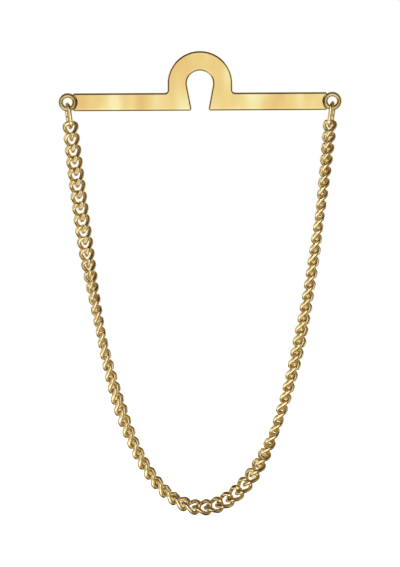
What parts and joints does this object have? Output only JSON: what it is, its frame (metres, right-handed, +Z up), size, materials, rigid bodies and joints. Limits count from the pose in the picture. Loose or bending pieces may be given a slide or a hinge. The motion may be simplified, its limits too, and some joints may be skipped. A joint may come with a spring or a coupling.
{
  "type": "tie chain",
  "caption": "Flat keyhole bar that slips behind a shirt button, with a curb chain hung from an eye at each end to drape over a necktie.",
  "frame": {"origin": "centre of the round button seat at the top of the keyhole, at the middle of the bar's thickness", "axes": "+X along the bar to the wearer's left, +Z up the keyhole's closed end, -Y out of the polished front face; the chain hangs freely along -Z"},
  "size_m": [0.0566, 0.0034, 0.093],
  "materials": {
    "bar_gold": "polished gold plate",
    "ring_gold": "polished gold plate",
    "chain_gold": "bright gold plate, worn"
  },
  "bodies": {
    "bar": {"keyhole_bar": "bar_gold"},
    "jump_rings": {"jump_ring_left": "ring_gold", "jump_ring_right": "ring_gold"},
    "row_01": {"link_row_01": "chain_gold"},
    "row_02": {"link_row_02": "chain_gold"},
    "row_03": {"link_row_03": "chain_gold"},
    "row_04": {"link_row_04": "chain_gold"},
    "row_05": {"link_row_05": "chain_gold"},
    "row_06": {"link_row_06": "chain_gold"},
    "row_07": {"link_row_07": "chain_gold"},
    "row_08": {"link_row_08": "chain_gold"},
    "row_09": {"link_row_09": "chain_gold"},
    "row_10": {"link_row_10": "chain_gold"},
    "row_11": {"link_row_11": "chain_gold"},
    "row_12": {"link_row_12": "chain_gold"},
    "row_13": {"link_row_13": "chain_gold"},
    "row_14": {"link_row_14": "chain_gold"},
    "row_15": {"link_row_15": "chain_gold"},
    "row_16": {"link_row_16": "chain_gold"},
    "row_17": {"link_row_17": "chain_gold"},
    "row_18": {"link_row_18": "chain_gold"},
    "row_19": {"link_row_19": "chain_gold"},
    "row_20": {"link_row_20": "chain_gold"},
    "row_21": {"link_row_21": "chain_gold"},
    "row_22": {"link_row_22": "chain_gold"},
    "row_23": {"link_row_23": "chain_gold"},
    "row_24": {"link_row_24": "chain_gold"},
    "row_25": {"link_row_25": "chain_gold"},
    "row_26": {"link_row_26": "chain_gold"},
    "row_27": {"link_row_27": "chain_gold"},
    "row_28": {"link_row_28": "chain_gold"},
    "row_29": {"link_row_29": "chain_gold"},
    "row_30": {"link_row_30": "chain_gold"},
    "row_31": {"link_row_31": "chain_gold"},
    "row_32": {"link_row_32": "chain_gold"},
    "row_33": {"link_row_33": "chain_gold"},
    "row_34": {"link_row_34": "chain_gold"},
    "row_35": {"link_row_35": "chain_gold"},
    "row_36": {"link_row_36": "chain_gold"},
    "lowest": {"lowest_link": "chain_gold"}
  },
  "joints": [
    {"name": "ring_swing", "type": "hinge", "parent": "bar", "child": "jump_rings", "pos_m": [0, 0, -0.00501], "axis": [1, 0, 0], "range_deg": [-100, 100]},
    {"name": "fold_01", "type": "hinge", "parent": "jump_rings", "child": "row_01", "pos_m": [0, 0, -0.00824], "axis": [1, 0, 0], "range_deg": [-8, 8]},
    {"name": "fold_02", "type": "hinge", "parent": "row_01", "child": "row_02", "pos_m": [0, 0, -0.01056], "axis": [1, 0, 0], "range_deg": [-8, 8]},
    {"name": "fold_03", "type": "hinge", "parent": "row_02", "child": "row_03", "pos_m": [0, 0, -0.01287], "axis": [1, 0, 0], "range_deg": [-8, 8]},
    {"name": "fold_04", "type": "hinge", "parent": "row_03", "child": "row_04", "pos_m": [0, 0, -0.01518], "axis": [1, 0, 0], "range_deg": [-8, 8]},
    {"name": "fold_05", "type": "hinge", "parent": "row_04", "child": "row_05", "pos_m": [0, 0, -0.01749], "axis": [1, 0, 0], "range_deg": [-8, 8]},
    {"name": "fold_06", "type": "hinge", "parent": "row_05", "child": "row_06", "pos_m": [0, 0, -0.0198], "axis": [1, 0, 0], "range_deg": [-8, 8]},
    {"name": "fold_07", "type": "hinge", "parent": "row_06", "child": "row_07", "pos_m": [0, 0, -0.02211], "axis": [1, 0, 0], "range_deg": [-8, 8]},
    {"name": "fold_08", "type": "hinge", "parent": "row_07", "child": "row_08", "pos_m": [0, 0, -0.02442], "axis": [1, 0, 0], "range_deg": [-8, 8]},
    {"name": "fold_09", "type": "hinge", "parent": "row_08", "child": "row_09", "pos_m": [0, 0, -0.02673], "axis": [1, 0, 0], "range_deg": [-8, 8]},
    {"name": "fold_10", "type": "hinge", "parent": "row_09", "child": "row_10", "pos_m": [0, 0, -0.02903], "axis": [1, 0, 0], "range_deg": [-8, 8]},
    {"name": "fold_11", "type": "hinge", "parent": "row_10", "child": "row_11", "pos_m": [0, 0, -0.03133], "axis": [1, 0, 0], "range_deg": [-8, 8]},
    {"name": "fold_12", "type": "hinge", "parent": "row_11", "child": "row_12", "pos_m": [0, 0, -0.03364], "axis": [1, 0, 0], "range_deg": [-8, 8]},
    {"name": "fold_13", "type": "hinge", "parent": "row_12", "child": "row_13", "pos_m": [0, 0, -0.03594], "axis": [1, 0, 0], "range_deg": [-8, 8]},
    {"name": "fold_14", "type": "hinge", "parent": "row_13", "child": "row_14", "pos_m": [0, 0, -0.03823], "axis": [1, 0, 0], "range_deg": [-8, 8]},
    {"name": "fold_15", "type": "hinge", "parent": "row_14", "child": "row_15", "pos_m": [0, 0, -0.04053], "axis": [1, 0, 0], "range_deg": [-8, 8]},
    {"name": "fold_16", "type": "hinge", "parent": "row_15", "child": "row_16", "pos_m": [0, 0, -0.04282], "axis": [1, 0, 0], "range_deg": [-8, 8]},
    {"name": "fold_17", "type": "hinge", "parent": "row_16", "child": "row_17", "pos_m": [0, 0, -0.04511], "axis": [1, 0, 0], "range_deg": [-8, 8]},
    {"name": "fold_18", "type": "hinge", "parent": "row_17", "child": "row_18", "pos_m": [0, 0, -0.0474], "axis": [1, 0, 0], "range_deg": [-8, 8]},
    {"name": "fold_19", "type": "hinge", "parent": "row_18", "child": "row_19", "pos_m": [0, 0, -0.04968], "axis": [1, 0, 0], "range_deg": [-8, 8]},
    {"name": "fold_20", "type": "hinge", "parent": "row_19", "child": "row_20", "pos_m": [0, 0, -0.05196], "axis": [1, 0, 0], "range_deg": [-8, 8]},
    {"name": "fold_21", "type": "hinge", "parent": "row_20", "child": "row_21", "pos_m": [0, 0, -0.05423], "axis": [1, 0, 0], "range_deg": [-8, 8]},
    {"name": "fold_22", "type": "hinge", "parent": "row_21", "child": "row_22", "pos_m": [0, 0, -0.05649], "axis": [1, 0, 0], "range_deg": [-8, 8]},
    {"name": "fold_23", "type": "hinge", "parent": "row_22", "child": "row_23", "pos_m": [0, 0, -0.05875], "axis": [1, 0, 0], "range_deg": [-8, 8]},
    {"name": "fold_24", "type": "hinge", "parent": "row_23", "child": "row_24", "pos_m": [0, 0, -0.061], "axis": [1, 0, 0], "range_deg": [-8, 8]},
    {"name": "fold_25", "type": "hinge", "parent": "row_24", "child": "row_25", "pos_m": [0, 0, -0.06323], "axis": [1, 0, 0], "range_deg": [-8, 8]},
    {"name": "fold_26", "type": "hinge", "parent": "row_25", "child": "row_26", "pos_m": [0, 0, -0.06545], "axis": [1, 0, 0], "range_deg": [-8, 8]},
    {"name": "fold_27", "type": "hinge", "parent": "row_26", "child": "row_27", "pos_m": [0, 0, -0.06765], "axis": [1, 0, 0], "range_deg": [-8, 8]},
    {"name": "fold_28", "type": "hinge", "parent": "row_27", "child": "row_28", "pos_m": [0, 0, -0.06983], "axis": [1, 0, 0], "range_deg": [-8, 8]},
    {"name": "fold_29", "type": "hinge", "parent": "row_28", "child": "row_29", "pos_m": [0, 0, -0.07197], "axis": [1, 0, 0], "range_deg": [-8, 8]},
    {"name": "fold_30", "type": "hinge", "parent": "row_29", "child": "row_30", "pos_m": [0, 0, -0.07408], "axis": [1, 0, 0], "range_deg": [-8, 8]},
    {"name": "fold_31", "type": "hinge", "parent": "row_30", "child": "row_31", "pos_m": [0, 0, -0.07613], "axis": [1, 0, 0], "range_deg": [-3, 3]},
    {"name": "fold_32", "type": "hinge", "parent": "row_31", "child": "row_32", "pos_m": [0, 0, -0.0781], "axis": [1, 0, 0], "range_deg": [-3, 3]},
    {"name": "fold_33", "type": "hinge", "parent": "row_32", "child": "row_33", "pos_m": [0, 0, -0.07995], "axis": [1, 0, 0], "range_deg": [-3, 3]},
    {"name": "fold_34", "type": "hinge", "parent": "row_33", "child": "row_34", "pos_m": [0, 0, -0.08165], "axis": [1, 0, 0], "range_deg": [-3, 3]},
    {"name": "fold_35", "type": "hinge", "parent": "row_34", "child": "row_35", "pos_m": [0, 0, -0.08309], "axis": [1, 0, 0], "range_deg": [-3, 3]},
    {"name": "fold_36", "type": "hinge", "parent": "row_35", "child": "row_36", "pos_m": [0, 0, -0.08418], "axis": [1, 0, 0], "range_deg": [-3, 3]},
    {"name": "fold_37", "type": "hinge", "parent": "row_36", "child": "lowest", "pos_m": [0, 0, -0.08477], "axis": [1, 0, 0], "range_deg": [-3, 3]}
  ],
  "couplings": [
    {"joint": "fold_02", "follows": "fold_01", "ratio": 1},
    {"joint": "fold_03", "follows": "fold_01", "ratio": 1},
    {"joint": "fold_04", "follows": "fold_01", "ratio": 1},
    {"joint": "fold_05", "follows": "fold_01", "ratio": 1},
    {"joint": "fold_06", "follows": "fold_01", "ratio": 1},
    {"joint": "fold_08", "follows": "fold_07", "ratio": 1},
    {"joint": "fold_09", "follows": "fold_07", "ratio": 1},
    {"joint": "fold_10", "follows": "fold_07", "ratio": 1},
    {"joint": "fold_11", "follows": "fold_07", "ratio": 1},
    {"joint": "fold_12", "follows": "fold_07", "ratio": 1},
    {"joint": "fold_14", "follows": "fold_13", "ratio": 1},
    {"joint": "fold_15", "follows": "fold_13", "ratio": 1},
    {"joint": "fold_16", "follows": "fold_13", "ratio": 1},
    {"joint": "fold_17", "follows": "fold_13", "ratio": 1},
    {"joint": "fold_18", "follows": "fold_13", "ratio": 1},
    {"joint": "fold_20", "follows": "fold_19", "ratio": 1},
    {"joint": "fold_21", "follows": "fold_19", "ratio": 1},
    {"joint": "fold_22", "follows": "fold_19", "ratio": 1},
    {"joint": "fold_23", "follows": "fold_19", "ratio": 1},
    {"joint": "fold_24", "follows": "fold_19", "ratio": 1},
    {"joint": "fold_26", "follows": "fold_25", "ratio": 1},
    {"joint": "fold_27", "follows": "fold_25", "ratio": 1},
    {"joint": "fold_28", "follows": "fold_25", "ratio": 1},
    {"joint": "fold_29", "follows": "fold_25", "ratio": 1},
    {"joint": "fold_30", "follows": "fold_25", "ratio": 1},
    {"joint": "fold_32", "follows": "fold_31", "ratio": 1},
    {"joint": "fold_33", "follows": "fold_31", "ratio": 1},
    {"joint": "fold_34", "follows": "fold_31", "ratio": 1},
    {"joint": "fold_35", "follows": "fold_31", "ratio": 1},
    {"joint": "fold_36", "follows": "fold_31", "ratio": 1},
    {"joint": "fold_37", "follows": "fold_31", "ratio": 1}
  ]
}
